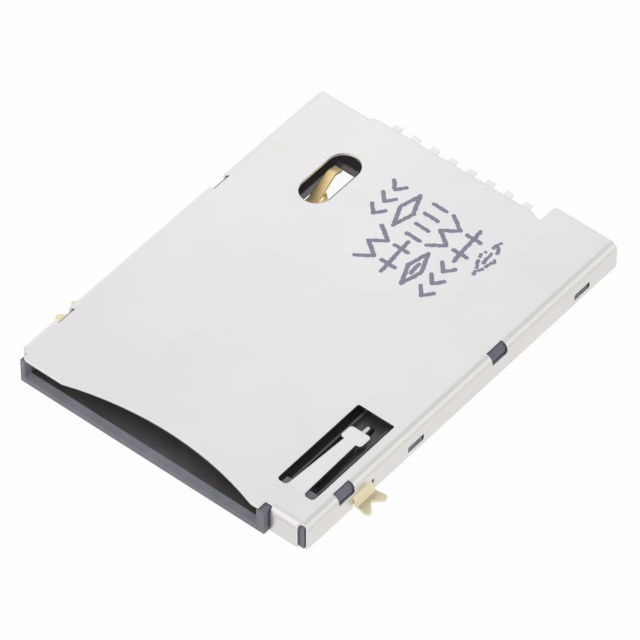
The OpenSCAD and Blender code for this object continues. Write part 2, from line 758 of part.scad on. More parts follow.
// Cuts along the front: the finger cut, the open left corner, the notch beside the tab, the room
// for the tab's bend and the slot at the right corner
module cover_front_cuts() {
    radius = (finger_w * finger_w / 4 + finger_d * finger_d) / (2 * finger_d);
    translate([0, 0, -slack]) linear_extrude(total_h + 2 * slack) {
        translate([0, edge_setback + finger_d - radius]) circle(radius, $fn = 192);
        left_corner_cut();
        round_rect([tab_left - tab_notch_w, -slack],
            [tab_notch_w + tab_w / 2, tab_notch_y + slack], tab_notch_r);
        translate([tab_left, -slack]) square([tab_w, tab_root + slack]);
        corner_slot();
    }
}

// Plan of the round-ended slot between the tab and the right side wall
module corner_slot() {
    x = tab_right + corner_slot_w / 2;
    capsule([x, -slack], [x, corner_slot_y - corner_slot_w / 2], corner_slot_w);
    translate([x, -slack]) square([corner_slot_w, right_wall_front + slack]);
}

// Plan of the cut that frees the left wall's front end, with the plate's own corner rounded
module left_corner_cut() {
    wall_out = -cover_w / 2 - slack;
    plate = front_left + corner_bare;
    polygon([[wall_out, -slack], [wall_out, left_wall_front], [sheet_t - cover_w / 2, left_wall_front],
        [plate - corner_r, corner_cut_y], [plate, corner_cut_y], [plate, -slack]]);
    difference() {
        translate([plate, -slack]) square([corner_r, edge_setback + corner_r + slack]);
        translate([plate + corner_r, edge_setback + corner_r]) circle(corner_r);
    }
}

// The tab bent down over the housing's front, beside the mouth
module front_tab()
    translate([0, tab_setback + sheet_t / 2, wall_foot]) along_x(tab_left, tab_w)
        strip([[cover_under - wall_foot - bend_r, -90, bend_r + sheet_t / 2], [tab_land, 0, 0]],
            sheet_t, 90);

// The stepped rear edge: a short corner, the long edge over the pocket and the part over the slider
module cover_rear_cuts() {
    far = cover_l + slack;
    corner_x = corner_w - cover_w / 2;
    notch_y = rear_edge - step_notch_d;
    translate([0, 0, -slack]) linear_extrude(total_h + 2 * slack) {
        polygon([[-cover_w / 2 - slack, corner_edge], [corner_x, corner_edge],
            [corner_x + corner_ramp, rear_edge], [rear_step_x - 3 * step_notch_w, rear_edge],
            [rear_step_x - step_notch_w, notch_y], [rear_step_x, notch_y], [rear_step_x, far],
            [-cover_w / 2 - slack, far]]);
        translate([rear_step_x, cover_l - step_r]) difference() {
            square([step_r, step_r + slack]);
            translate([step_r, 0]) circle(step_r);
        }
    }
}

// The U-shaped window round the leaf: a slot on each side of its root, joined behind it
module leaf_window() {
    slot_w = (leaf_window_w - leaf_root_w) / 2;
    left = cam_x - leaf_window_w / 2;
    translate([0, 0, cover_under - slack]) linear_extrude(2 * slack) {
        for (x = [left, left + leaf_window_w - slot_w])
            round_rect([x, leaf_window_y], [slot_w, leaf_window_l / 2], leaf_window_r);
        round_rect([left, leaf_y], [leaf_window_w, leaf_window_l - leaf_window_r], leaf_rear_r);
    }
}

// The leaf that holds the cam pin down: part of the cover's own sheet, bent down to its tip
module leaf() {
    start = leaf_window_y - slack / 4;
    intersection() {
        translate([0, start, cover_under + sheet_t / 2]) along_x(cam_x - leaf_window_w / 2, leaf_window_w)
            strip([[leaf_y - start, -leaf_tilt, leaf_bend_r], [leaf_l + slack, 0, 0]], sheet_t);
        translate([cam_x, leaf_y, 0]) linear_extrude(total_h + slack) leaf_plan();
    }
}

module leaf_plan() {
    neck = leaf_l - leaf_head_l;
    front = leaf_window_y - leaf_y - slack / 4;
    tip = leaf_l - leaf_head_r;
    polygon([[-leaf_root_w / 2, front], [leaf_root_w / 2, front], [leaf_root_w / 2, 0],
        [leaf_neck_w / 2, neck], [leaf_neck_w / 2, tip], [-leaf_neck_w / 2, tip],
        [-leaf_neck_w / 2, neck], [-leaf_root_w / 2, 0]]);
    round_rect([-leaf_head_w / 2, neck], [leaf_head_w, leaf_head_l], leaf_head_r);
}

module view_window() {
    half = (view_l - view_w) / 2;
    x = tail_x(SWITCH_TAIL) + view_x;
    y = switch_crest - view_y;
    translate([0, 0, cover_under - slack]) linear_extrude(2 * slack)
        capsule([x, y - half], [x, y + half], view_w);
}

// Slider

module slider() {
    foot = channel_floor + run_gap / 2;
    bar_right = slider_left + bar_w;
    bar_rear = ejected_end + pusher_t;
    color("#232326") difference() {
        union() {
            block([slider_left, cam_front, foot], [slider_right, cam_rear, rim_top]);
            block([slider_left, cam_rear - slack, foot], [bar_right, bar_rear, bar_top]);
            block([pusher_left, ejected_end, floor_t + run_gap], [bar_right, bar_rear, bar_top]);
            spigot([spring_x, cam_rear, spring_z], 1);
        }
        block([cam_x - deck_half, cam_front - slack, deck_z],
            [cam_x + deck_half, cam_rear - cam_end_wall, bar_top + slack]);
        block([cam_x + deck_half + rim_w, cam_front - slack, deck_z],
            [slider_right + slack, cam_rear - cam_end_wall, bar_top + slack]);
        translate([cam_x, follower_y, 0]) cam_track();
    }
}

// The heart-shaped track, seen from the follower's place of rest. The card goes in along the
// left lane, locks at the notch behind the heart and comes out along the right lane, which
// climbs back to the level of the start.
module cam_track() {
    start = [0, 0];
    in_turn = [-lane_out, -travel];
    latch = [0, -latch_back];
    out_turn = [lane_out, -travel];
    lane(start, in_turn, track_z);
    lane(in_turn, latch, track_z - track_step);
    lane(latch, out_turn, track_z - 2 * track_step);
    difference() {
        lane(out_turn, start, track_z - 3 * track_step);
        translate([0, -travel, track_z - 3 * track_step]) rotate([atan(3 * track_step / travel), 0, 0])
            translate([-slack, -slack / 4, -slack]) cube([2 * slack, travel + slack, slack]);
    }
}

module lane(a, b, z) translate([0, 0, z]) linear_extrude(bar_top) capsule(a, b, lane_w);

// Cam pin: a wire with both ends bent down, the front one in its bore and the rear one in the track

module cam_pin() {
    r = wire_bend_r;
    color("#b9bbc0") translate([cam_x, pivot_y, 0]) {
        translate([0, r, wire_z]) rotate([-90, 0, 0]) cylinder(h = pin_l - 2 * r, d = wire_d);
        pin_end(track_z);
        translate([0, pin_l, 0]) mirror([0, 1, 0]) pin_end(track_z + end_gap);
    }
}

// One bent end: a quarter turn down from the level wire, and the upright below it
module pin_end(z) {
    r = wire_bend_r;
    translate([0, 0, z]) cylinder(h = wire_z - r - z, d = wire_d);
    translate([0, r, wire_z - r]) rotate([0, 0, 180]) rotate([0, -90, 0])
        rotate_extrude(angle = 90) translate([r, 0]) circle(d = wire_d, $fn = 24);
}

// Return spring: one helix with close-wound ends, swept along its own turns

ring_sides = 8;
turn_steps = 12;
dead_turns = 1;

function spring_along(t, l, pitch_end) = let (
    n = spring_turns,
    mid = (l - 2 * dead_turns * pitch_end) / (n - 2 * dead_turns))
    t < dead_turns ? t * pitch_end
    : t > n - dead_turns ? l - (n - t) * pitch_end
    : dead_turns * pitch_end + (t - dead_turns) * mid;

module spring() {
    r = (spring_d - spring_wire) / 2;
    l = chamber_end - cam_rear - spring_wire;
    steps = spring_turns * turn_steps;
    points = [for (i = [0 : steps], j = [0 : ring_sides - 1]) let (
        a = 360 * i / turn_steps,
        b = 360 * j / ring_sides,
        out = r + spring_wire / 2 * cos(b),
        y = spring_along(i / turn_steps, l, spring_wire) + spring_wire / 2 * sin(b))
        [out * cos(a), y, out * sin(a)]];
    faces = concat(
        [[for (j = [0 : ring_sides - 1]) j]],
        [for (i = [0 : steps - 1], j = [0 : ring_sides - 1]) let (k = (j + 1) % ring_sides)
            [i * ring_sides + j, (i + 1) * ring_sides + j, (i + 1) * ring_sides + k, i * ring_sides + k]],
        [[for (j = [ring_sides - 1 : -1 : 0]) steps * ring_sides + j]]);
    color("#c4c6ca") translate([spring_x, cam_rear + spring_wire / 2, spring_z])
        polyhedron(points, faces, convexity = 10);
}

placed() housing();
placed() cover();
for (i = [0 : len(SIGNALS) - 1])
    placed() signal_contact(i);
placed() switch_arm();
placed() switch_stop();
placed() terminal(-1);  // terminal_left
placed() terminal(1);  // terminal_right
placed() slider();
placed() cam_pin();
placed() spring();
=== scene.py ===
import math
import random

import bpy
from mathutils import Matrix, Vector


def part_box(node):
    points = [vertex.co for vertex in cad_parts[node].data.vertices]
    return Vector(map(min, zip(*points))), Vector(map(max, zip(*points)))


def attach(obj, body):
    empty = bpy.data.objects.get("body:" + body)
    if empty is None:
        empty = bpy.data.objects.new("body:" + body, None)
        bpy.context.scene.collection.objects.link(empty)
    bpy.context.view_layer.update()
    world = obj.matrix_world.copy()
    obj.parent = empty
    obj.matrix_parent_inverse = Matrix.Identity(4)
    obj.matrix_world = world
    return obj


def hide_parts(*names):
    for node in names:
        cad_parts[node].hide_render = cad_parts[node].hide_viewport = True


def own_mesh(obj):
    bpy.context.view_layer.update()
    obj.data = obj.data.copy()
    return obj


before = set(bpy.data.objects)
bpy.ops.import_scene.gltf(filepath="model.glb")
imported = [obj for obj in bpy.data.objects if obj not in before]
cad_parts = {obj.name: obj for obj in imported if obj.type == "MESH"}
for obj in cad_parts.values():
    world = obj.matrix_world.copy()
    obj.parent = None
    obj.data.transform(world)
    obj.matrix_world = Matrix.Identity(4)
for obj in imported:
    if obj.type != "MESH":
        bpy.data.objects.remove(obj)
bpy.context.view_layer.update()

# Sizes and places are in millimetres, and MM turns them into the frame's metres.
MM = 0.001

# The camera looks down on the mouth's right corner, as a product photographer would, from about
# 340 mm away with a long lens. It is fitted to the socket's own edges and tails. Its turn is given
# by the directions to its right and to its back.
CAMERA_PLACE = Vector((147.22, -177.71, 253.55)) * MM
CAMERA_RIGHT = Vector((0.7695, 0.6386, 0.0007))
CAMERA_BACK = Vector((0.4293, -0.5181, 0.7398))
CAMERA_LENS = 368.2
FILM_WIDTH = 36
NEAREST_SEEN = 10

camera = bpy.data.objects.new("camera", bpy.data.cameras.new("camera"))
bpy.context.scene.collection.objects.link(camera)
right = CAMERA_RIGHT.normalized()
back = (CAMERA_BACK - right * CAMERA_BACK.dot(right)).normalized()
turn = Matrix((right, back.cross(right), back)).transposed()
camera.matrix_world = Matrix.Translation(CAMERA_PLACE) @ turn.to_4x4()
camera.data.sensor_width = FILM_WIDTH
camera.data.lens = CAMERA_LENS
camera.data.clip_start = NEAREST_SEEN * MM
bpy.context.scene.camera = camera
bpy.context.scene.view_settings.view_transform = "Standard"

# The studio is a table of white paper under a white tent, with soft boxes round it. The tent and
# the table are white to the camera and in metal, but for the tent's top, which is a shade darker
# and shows along the cover's right bend as a soft dark line.
TENT_LIGHT = 0.8
TENT_TOP_SHADE = 0.77
TENT_TOP_MIDDLE = (0.241, 0.048, 0.969)
TABLE_SIZE = 1600

# The top is darkest up to 31 degrees from its middle, and ends at 42. These are the cosines.
TENT_TOP_DARKEST = 0.86
TENT_TOP_END = 0.74

# The paper shows white, with this small share of its real shade, which holds the shadow.
TABLE_SHADE = 0.05


def linear(code):
    """An sRGB hex colour as linear red, green, blue and alpha."""
    parts = [int(code[i:i + 2], 16) / 255 for i in (1, 3, 5)]
    return [c / 12.92 if c <= 0.04045 else ((c + 0.055) / 1.055) ** 2.4 for c in parts] + [1]


def add_node(tree, kind, inputs=None, **settings):
    """A shader node with its settings, and for each input a value or the socket that feeds it."""
    node = tree.nodes.new("ShaderNode" + kind)
    for name, value in settings.items():
        setattr(node, name, value)
    for name, value in (inputs or {}).items():
        if isinstance(value, bpy.types.NodeSocket):
            tree.links.new(value, node.inputs[name])
        else:
            node.inputs[name].default_value = value
    return node


def new_material(name):
    """A material with nothing in it yet, and its node tree."""
    made = bpy.data.materials.new(name)
    made.use_nodes = True
    made.node_tree.nodes.clear()
    return made, made.node_tree


def seen_directly(tree):
    """1 for rays from the camera, and for those that a shiny or clear surface sends on."""
    path = add_node(tree, "LightPath")
    seen = add_node(tree, "Math", {0: path.outputs["Is Camera Ray"], 1: path.outputs["Is Glossy Ray"]},
                    operation="ADD")
    seen = add_node(tree, "Math", {0: seen.outputs[0], 1: path.outputs["Is Transmission Ray"]},
                    operation="ADD", use_clamp=True)
    return seen.outputs[0]


def soft_box(name, place, size, power, colour, mirrored=True):
    """A square lamp turned to the socket, its place and size in millimetres, seen in metal or not."""
    lamp = bpy.data.lights.new(name, "AREA")
    lamp.size = size * MM
    lamp.energy = power
    lamp.color = linear(colour)[:3]
    lamp_object = bpy.data.objects.new(name, lamp)
    lamp_object.visible_glossy = mirrored
    bpy.context.scene.collection.objects.link(lamp_object)
    lamp_object.location = Vector(place) * MM
    lamp_object.rotation_euler = lamp_object.location.to_track_quat("Z", "Y").to_euler()


world = bpy.data.worlds.new("white tent")
world.use_nodes = True
bpy.context.scene.world = world
tree = world.node_tree
tree.nodes.clear()
tent = add_node(tree, "Background", {"Color": linear("#ffffff"), "Strength": TENT_LIGHT})
facing = add_node(tree, "TexCoord")
upward = add_node(tree, "VectorMath", {0: facing.outputs["Generated"], 1: TENT_TOP_MIDDLE},
                  operation="DOT_PRODUCT")
top_shade = add_node(tree, "MapRange", {"Value": upward.outputs["Value"], "From Min": TENT_TOP_END,
                                        "From Max": TENT_TOP_DARKEST, "To Min": 1,
                                        "To Max": TENT_TOP_SHADE}, interpolation_type="SMOOTHSTEP")
backdrop = add_node(tree, "Background", {"Color": linear("#ffffff"), "Strength": top_shade.outputs[0]})
mixed = add_node(tree, "MixShader", {0: seen_directly(tree), 1: tent.outputs[0], 2: backdrop.outputs[0]})
add_node(tree, "OutputWorld", {"Surface": mixed.outputs[0]})

bpy.ops.mesh.primitive_plane_add(size=TABLE_SIZE * MM)
table = bpy.context.object
table.name = "table"
paper, tree = new_material("white table paper")
sheet = add_node(tree, "BsdfDiffuse", {"Color": linear("#f4f4f4")})
path = add_node(tree, "LightPath")
tint = add_node(tree, "Mix", {"Factor": path.outputs["Is Glossy Ray"], 6: linear("#ffffff"),
                              7: linear("#fefdfa")}, data_type="RGBA")
glow = add_node(tree, "Emission", {"Color": tint.outputs[2], "Strength": 1})
weight = add_node(tree, "Math", {0: seen_directly(tree), 1: 1 - TABLE_SHADE}, operation="MULTIPLY")
mixed = add_node(tree, "MixShader", {0: weight.outputs[0], 1: sheet.outputs[0], 2: glow.outputs[0]})
add_node(tree, "OutputMaterial", {"Surface": mixed.outputs[0]})
table.data.materials.append(paper)

soft_box("front left box", (-142, -231, 188), size=300, power=0.075, colour="#fff3e6")
soft_box("front box", (60, -320, 70), size=200, power=0.34, colour="#fffdf8", mirrored=False)
soft_box("rear right box", (245, 172, 142), size=120, power=0.0065, colour="#fff1dc")
soft_box("rear left card", (-60, 72, 85), size=30, power=0.0009, colour="#ffffff")
soft_box("left card", (-170, 110, 62), size=80, power=0.004, colour="#f6f7ff")

# The housing is one moulding of black glass-filled liquid crystal polymer. The mould leaves it a
# dull dark grey, with a fine grain, faint flow marks and edges a few hundredths of a millimetre
# round, which carry a painted highlight. The floor of the card's pocket, in the recess under the
# cover, has painted shade, a little darker and browner.
MOULD_FLOW = 1.2
MOULD_FLOW_DARK = 0.86
MOULD_FLOW_LIGHT = 1.16
MOULD_EDGE = 0.03
# Two corners of the box on the pocket's floor that gets the painted shade, and its fade.
POCKET_FLOOR = ((-8.7, -12.94, 0.5), (6.6, 11.2, 0.62))
POCKET_FADE = 0.02

# The real grain is finer than the render can show, and is drawn about a pixel wide.
MOULD_GRAIN = 0.05
MOULD_GRAIN_DEPTH = 0.004
MOULD_GRAIN_STRENGTH = 0.25
MOULD_GRAIN_UNEVEN = 0.06

# A noise pattern's values lie mostly between these two.
NOISE_LOW = 0.3
NOISE_HIGH = 0.7

# An edge takes on its painted highlight colour from where it has turned by 8 degrees, and has all
# of it from 26. These are the cosines.
EDGE_HIGHLIGHT_START = 0.99
EDGE_HIGHLIGHT_FULL = 0.9
EDGE_SAMPLES = 6


def pattern_place(tree, size):
    """Coordinates in which one unit is a size in millimetres along X, Y and Z of the piece."""
    place = add_node(tree, "TexCoord")
    scaled = add_node(tree, "Mapping", {"Vector": place.outputs["Object"],
                                        "Scale": [1 / (s * MM) for s in size]})
    return scaled.outputs[0]


def rounded_edges(tree, width):
    """The surface's direction with edges rounded over by a width in millimetres, and 1 on them, where a
    painted highlight goes.
    """
    rounded = add_node(tree, "Bevel", {"Radius": width * MM}, samples=EDGE_SAMPLES)
    flat = add_node(tree, "NewGeometry")
    turned = add_node(tree, "VectorMath", {0: rounded.outputs[0], 1: flat.outputs["Normal"]},
                      operation="DOT_PRODUCT")
    edge_highlight_mask = add_node(tree, "MapRange", {"Value": turned.outputs["Value"], "From Min": EDGE_HIGHLIGHT_START,
                                          "From Max": EDGE_HIGHLIGHT_FULL})
    return rounded.outputs[0], edge_highlight_mask.outputs[0]


def in_box(tree, low, high, fade):
    """1 between two corners in millimetres, and 0 from a short way outside them."""
    place = add_node(tree, "TexCoord")
    middle = [(a + b) / 2 * MM for a, b in zip(low, high)]
    half = [(b - a) / 2 * MM for a, b in zip(low, high)]
    away = add_node(tree, "VectorMath", {0: place.outputs["Object"], 1: middle}, operation="SUBTRACT")
    away = add_node(tree, "VectorMath", {0: away.outputs[0]}, operation="ABSOLUTE")
    past = add_node(tree, "VectorMath", {0: away.outputs[0], 1: half}, operation="SUBTRACT")
    part = add_node(tree, "SeparateXYZ", {0: past.outputs[0]})
    most = add_node(tree, "Math", {0: part.outputs["X"], 1: part.outputs["Y"]}, operation="MAXIMUM")
    most = add_node(tree, "Math", {0: most.outputs[0], 1: part.outputs["Z"]}, operation="MAXIMUM")
    return add_node(tree, "MapRange", {"Value": most.outputs[0], "From Max": fade * MM, "To Min": 1,
                                       "To Max": 0}).outputs[0]


def moulded_plastic(name, colour, edge_highlight_colour, roughness, pocket_shade_colour=None):
    """Black engineering plastic with painted highlights on its edges, and with painted shade on the
    pocket's floor if a colour is given for it.
    """
    finish, tree = new_material(name)
    grain = add_node(tree, "TexNoise", {"Vector": pattern_place(tree, [MOULD_GRAIN] * 3),
                                        "Scale": 1, "Detail": 2})
    flow = add_node(tree, "TexNoise", {"Vector": pattern_place(tree, [MOULD_FLOW] * 3),
                                       "Scale": 1, "Detail": 4})
    tint = add_node(tree, "MapRange", {"Value": flow.outputs["Fac"],
                                       "From Min": NOISE_LOW, "From Max": NOISE_HIGH,
                                       "To Min": MOULD_FLOW_DARK, "To Max": MOULD_FLOW_LIGHT})
    rounded, edge_highlight_mask = rounded_edges(tree, MOULD_EDGE)
    # The edges get a lighter colour, a painted highlight.
    base = add_node(tree, "Mix", {"Factor": edge_highlight_mask, 6: linear(colour), 7: linear(edge_highlight_colour)},
                    data_type="RGBA")
    # Painted shade, darker and browner, on the floor of the pocket under the cover.
    if pocket_shade_colour:
        base = add_node(tree, "Mix", {"Factor": in_box(tree, *POCKET_FLOOR, POCKET_FADE),
                                      6: base.outputs[2], 7: linear(pocket_shade_colour)}, data_type="RGBA")
    base = add_node(tree, "Mix", {"Factor": 1, 6: base.outputs[2], 7: tint.outputs[0]},
                    data_type="RGBA", blend_type="MULTIPLY")
    dull = add_node(tree, "MapRange", {"Value": grain.outputs["Fac"],
                                       "From Min": NOISE_LOW, "From Max": NOISE_HIGH,
                                       "To Min": roughness - MOULD_GRAIN_UNEVEN,
                                       "To Max": roughness + MOULD_GRAIN_UNEVEN})
    bump = add_node(tree, "Bump", {"Height": grain.outputs["Fac"], "Strength": MOULD_GRAIN_STRENGTH,
                                   "Distance": MOULD_GRAIN_DEPTH * MM, "Normal": rounded})
    shader = add_node(tree, "BsdfPrincipled", {"Base Color": base.outputs[2], "Roughness": dull.outputs[0],
                                               "IOR": 1.6, "Normal": bump.outputs[0]})
    add_node(tree, "OutputMaterial", {"Surface": shader.outputs[0]})
    return finish


def put_on(name, finish):
    """Gives a kept piece of the frame its finish."""
    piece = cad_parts[name]
    piece.data.materials.clear()
    piece.data.materials.append(finish)


# The second colour is a painted highlight on the edges, and the pocket's colour is painted shade.
put_on("housing", moulded_plastic("black liquid crystal polymer", "#646570", "#84848d",
                                  roughness=0.42, pocket_shade_colour="#4c4a4b"))

# The cover is stamped from bright-annealed stainless sheet and folded over the housing. The
# rolls leave a very fine grain along the sheet. The bends carry a painted warm highlight, with a
# painted dark line of reflected shade under them, and the punched edges are rounded, with a
# painted highlight on them.
COVER_EDGE = 0.09
STEEL_SHINIEST = 0.29
STEEL_DULLEST = 0.32

# The real grain is finer than the render can show, and its lines are drawn about a pixel wide.
GRAIN_WIDTH = 0.06
GRAIN_LENGTH = 2.4
GRAIN_DEPTH = 0.003
GRAIN_STRENGTH = 0.03

# The sheet is faintly cloudy, and has small specks that are a little darker. They stand about
# SPECK apart, and their core and edge are shares of it.
CLOUD = 4.0
CLOUD_LOW = 0.35
CLOUD_HIGH = 0.65
CLOUD_DARK = 0.985
CLOUD_LIGHT = 1.01
SPECK = 0.35
SPECK_CORE = 0.02
SPECK_EDGE = 0.07
SPECK_DARK = 0.93

# A bend's painted warm highlight starts and is full at these shares of BEND_WIDTH, in from the side
# and down from the top.
BEND_WIDTH = 0.45
BEND_SIDE_START = 0.9
BEND_SIDE_FULL = 0.45
BEND_TOP_START = 1.1
BEND_TOP_FULL = 0.7
BEND_HIGHLIGHT_WARMTH = 0.3
# A painted line of reflected shade lies this far below the cover's top, this wide and this dark.
SHADE_LINE_DOWN = 0.33
SHADE_LINE_WIDTH = 0.17
SHADE_LINE_DARK = 0.9

# A faint yellowish stain lies beside the left bend. It fades from this share of its size out.
STAIN_PLACE = (-8.6, 6.9)
STAIN_SIZE = (0.9, 0.35)
STAIN_CORE = 0.2
STAIN_STRENGTH = 0.5

cover_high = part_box("cover")[1]
steel, tree = new_material("bright annealed stainless sheet")
grain = add_node(tree, "TexNoise", {"Vector": pattern_place(tree, (GRAIN_WIDTH, GRAIN_LENGTH, GRAIN_WIDTH)),
                                    "Scale": 1, "Detail": 3})
cloud = add_node(tree, "TexNoise", {"Vector": pattern_place(tree, [CLOUD] * 3), "Scale": 1, "Detail": 3})
speck = add_node(tree, "TexVoronoi", {"Vector": pattern_place(tree, [SPECK] * 3), "Scale": 1})
specked = add_node(tree, "MapRange", {"Value": speck.outputs["Distance"], "From Min": SPECK_CORE,
                                      "From Max": SPECK_EDGE, "To Min": SPECK_DARK, "To Max": 1})
cloudy = add_node(tree, "MapRange", {"Value": cloud.outputs["Fac"], "From Min": CLOUD_LOW,
                                     "From Max": CLOUD_HIGH, "To Min": CLOUD_DARK, "To Max": CLOUD_LIGHT})
shade = add_node(tree, "Math", {0: specked.outputs[0], 1: cloudy.outputs[0]}, operation="MULTIPLY")
colour = add_node(tree, "Mix", {"Factor": 1, 6: linear("#e1dfe0"), 7: shade.outputs[0]},
                  data_type="RGBA", blend_type="MULTIPLY")

# The bends get a painted warm highlight. They are where the sheet is near a side and near the top.
place = add_node(tree, "TexCoord")
part = add_node(tree, "SeparateXYZ", {0: place.outputs["Object"]})
from_middle = add_node(tree, "Math", {0: part.outputs["X"]}, operation="ABSOLUTE")
at_side = add_node(tree, "MapRange", {"Value": from_middle.outputs[0],
                                      "From Min": cover_high.x - BEND_SIDE_START * BEND_WIDTH * MM,
                                      "From Max": cover_high.x - BEND_SIDE_FULL * BEND_WIDTH * MM})
near_top = add_node(tree, "MapRange", {"Value": part.outputs["Z"],
                                       "From Min": cover_high.z - BEND_TOP_START * BEND_WIDTH * MM,
                                       "From Max": cover_high.z - BEND_TOP_FULL * BEND_WIDTH * MM,
                                       "To Max": BEND_HIGHLIGHT_WARMTH})
bend_highlight = add_node(tree, "Math", {0: at_side.outputs[0], 1: near_top.outputs[0]}, operation="MULTIPLY")
colour = add_node(tree, "Mix", {"Factor": bend_highlight.outputs[0], 6: colour.outputs[2], 7: linear("#ecebda")},
                  data_type="RGBA")

# A painted dark line, standing in for the shade that the bends reflect low down, runs round the
# cover at one height.
from_line = add_node(tree, "Math", {0: part.outputs["Z"], 1: cover_high.z - SHADE_LINE_DOWN * MM},
                     operation="SUBTRACT")
from_line = add_node(tree, "Math", {0: from_line.outputs[0]}, operation="ABSOLUTE")
painted_shade_line = add_node(tree, "MapRange", {"Value": from_line.outputs[0], "From Max": SHADE_LINE_WIDTH * MM,
                                       "To Min": SHADE_LINE_DARK, "To Max": 1},
                    interpolation_type="SMOOTHSTEP")
colour = add_node(tree, "Mix", {"Factor": 1, 6: colour.outputs[2], 7: painted_shade_line.outputs[0]},
                  data_type="RGBA", blend_type="MULTIPLY")

# The stain is found in coordinates that are 0 at its middle and 1 long at its rim.
centre = add_node(tree, "Mapping", {"Vector": place.outputs["Object"],
                                    "Location": [-p / s for p, s in zip(STAIN_PLACE, STAIN_SIZE)] + [0],
                                    "Scale": [1 / (s * MM) for s in STAIN_SIZE] + [0]})
reach = add_node(tree, "VectorMath", {0: centre.outputs[0]}, operation="LENGTH")
stained = add_node(tree, "MapRange", {"Value": reach.outputs["Value"], "From Min": STAIN_CORE,
                                      "From Max": 1, "To Min": STAIN_STRENGTH, "To Max": 0},
                   interpolation_type="SMOOTHSTEP")
colour = add_node(tree, "Mix", {"Factor": stained.outputs[0], 6: colour.outputs[2], 7: linear("#dcdbc8")},
                  data_type="RGBA")

rounded, edge_highlight_mask = rounded_edges(tree, COVER_EDGE)
# The rounded edges are painted a lighter colour, a painted highlight.
colour = add_node(tree, "Mix", {"Factor": edge_highlight_mask, 6: colour.outputs[2], 7: linear("#f7f5f4")},
                  data_type="RGBA")
dull = add_node(tree, "MapRange", {"Value": grain.outputs["Fac"], "From Min": NOISE_LOW,
                                   "From Max": NOISE_HIGH, "To Min": STEEL_SHINIEST,
                                   "To Max": STEEL_DULLEST})
bump = add_node(tree, "Bump", {"Height": grain.outputs["Fac"], "Strength": GRAIN_STRENGTH,
                               "Distance": GRAIN_DEPTH * MM, "Normal": rounded})
shader = add_node(tree, "BsdfPrincipled", {"Base Color": colour.outputs[2], "Metallic": 1,
                                           "Roughness": dull.outputs[0], "Normal": bump.outputs[0]})
add_node(tree, "OutputMaterial", {"Surface": shader.outputs[0]})
put_on("cover", steel)

# The mark on the cover is ink, sprayed by a jet as overlapping drops that dry a dull violet grey.
# It is two rows of plain shapes, crisp at the left and breaking up to the right, where the
# nozzles ran dry.
MARK_PITCH = 1.36
MARK_SIZE = (0.88, 2.55)
MARK_SLANT = -0.09
DROP = 0.135
DROP_SIZES = (0.88, 1.08)
DROP_STEP = 0.13
DROP_ASTRAY = 0.02
DROP_SIDES = 10
DROP_SEED = 7
INK_PATCH = 0.25

# The ink stands this much above the cover, more or less by half. Each drop has its own height,
# by steps of the golden ratio, so that drops that overlap don't have their tops in one plane.
INK_LIFT = 0.004
GOLDEN_SHARE = 0.618

# The nozzles run dry from DRY_START on. By DRY_REACH further, the drops are further apart,
# smaller and more astray by these shares, and this share of them doesn't come.
DRY_START = 3.6
DRY_REACH = 3
DRY_APART = 0.5
DRY_SMALLER = 0.35
DRY_ASTRAY = 2
DRY_MISSING = 0.35

# A row has its first shape's lower left corner, its number of shapes and which comes first.
MARK_ROWS = [((-2.05, 6.31), 6, 0), ((-0.45, 3.34), 4, 3)]

# A shape is lines through points of its cell, which is 0 to 1 across and 0 to 1 up.
MARKS = [
    [[(0, 0.2), (0.5, 0), (1, 0.2)], [(0, 0.6), (0.5, 0.4), (1, 0.6)], [(0, 1), (0.5, 0.8), (1, 1)]],
    [[(0.5, 0), (1, 0.5), (0.5, 1), (0, 0.5), (0.5, 0)]],
    [[(0, 0), (1, 0)], [(0, 0.33), (1, 0.33)], [(0, 0.67), (1, 0.67)], [(0, 1), (1, 1)]],
    [[(0, 0), (1, 0.25), (0, 0.5), (1, 0.75), (0, 1)]],
    [[(0.5, 0), (0.5, 1)], [(0, 0.75), (1, 0.75)], [(0, 0.25), (1, 0.25)]],
    [[(0.5, 0), (1, 0.5), (0.5, 1), (0, 0.5), (0.5, 0)], [(0.5, 0.35), (0.5, 0.65)]],
]

ink_points = []
ink_faces = []


def along(points, step):
    """Places at equal steps along a line of points."""
    for a, b in zip(points, points[1:]):
        count = max(1, round((b - a).length / step))
        for i in range(count):
            yield a.lerp(b, i / count)
    yield points[-1]


def spray(centre, radius):
    """Adds one drop to the ink, as a low disc that starts a little below the cover's surface."""
    first = len(ink_points)
    surface = cover_high.z / MM
    top = surface + INK_LIFT * (0.5 + first / (2 * DROP_SIDES) * GOLDEN_SHARE % 1)
    for z in (surface - INK_LIFT / 2, top):
        for k in range(DROP_SIDES):
            angle = 2 * math.pi * k / DROP_SIDES
            ink_points.append((centre.x + radius * math.cos(angle),
                               centre.y + radius * math.sin(angle), z))
    ink_faces.append([first + k for k in reversed(range(DROP_SIDES))])
    ink_faces.append([first + DROP_SIDES + k for k in range(DROP_SIDES)])
    for k in range(DROP_SIDES):
        n = (k + 1) % DROP_SIDES
        ink_faces.append([first + k, first + n, first + DROP_SIDES + n, first + DROP_SIDES + k])


def new_piece(name, points, faces, finish):
    """A piece from points in millimetres and faces, with its finish."""
    mesh = bpy.data.meshes.new(name)
    mesh.from_pydata([Vector(p) * MM for p in points], [], faces)
    mesh.materials.append(finish)
    piece = bpy.data.objects.new(name, mesh)
    bpy.context.scene.collection.objects.link(piece)
    return piece


